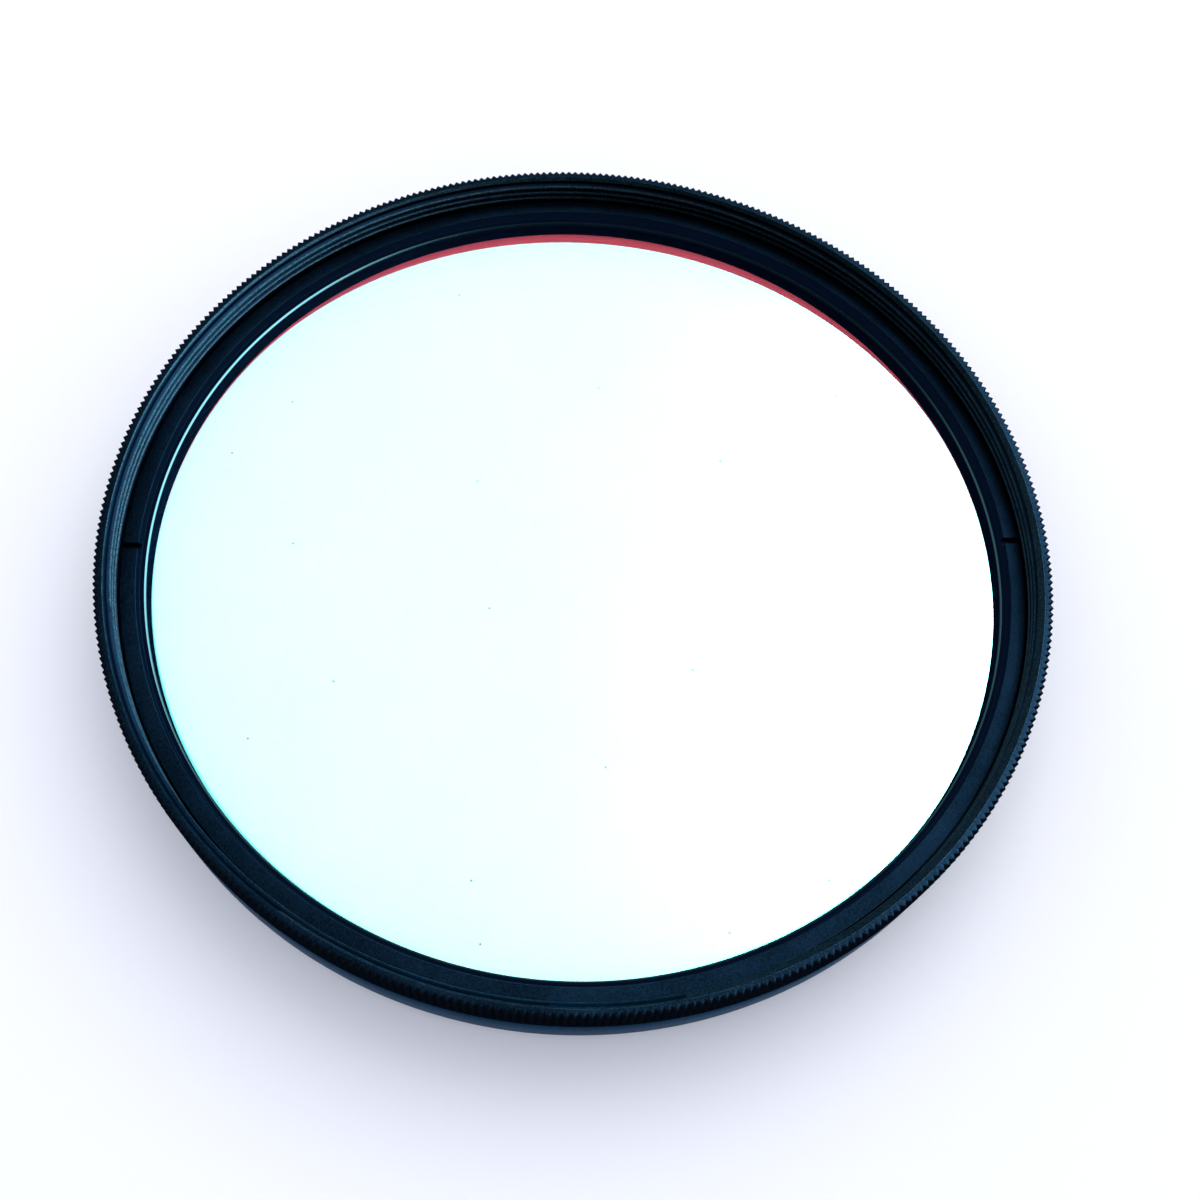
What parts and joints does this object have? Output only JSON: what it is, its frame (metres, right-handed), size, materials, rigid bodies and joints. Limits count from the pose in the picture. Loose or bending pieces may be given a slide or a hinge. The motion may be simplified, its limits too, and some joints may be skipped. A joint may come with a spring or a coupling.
{
  "type": "h-alpha filter",
  "caption": "Round screw-in solar filter: a mirror-coated red-passing glass held by a slotted ring in a black knurled aluminium cell threaded front and rear.",
  "frame": {"origin": "centre of the rear face, where the rear thread stands", "axes": "+Z along the filter's axis, from the rear thread to the front thread"},
  "size_m": [0.084, 0.084, 0.01],
  "materials": {
    "anodised_aluminium": "black anodised, satin, with fine turning marks",
    "dichroic_glass": "polished, mirror coated on the front: reflects pale cyan and passes deep red"
  },
  "bodies": {
    "root": {"filter_cell": "anodised_aluminium", "retaining_ring": "anodised_aluminium", "filter_glass": "dichroic_glass"}
  },
  "joints": []
}
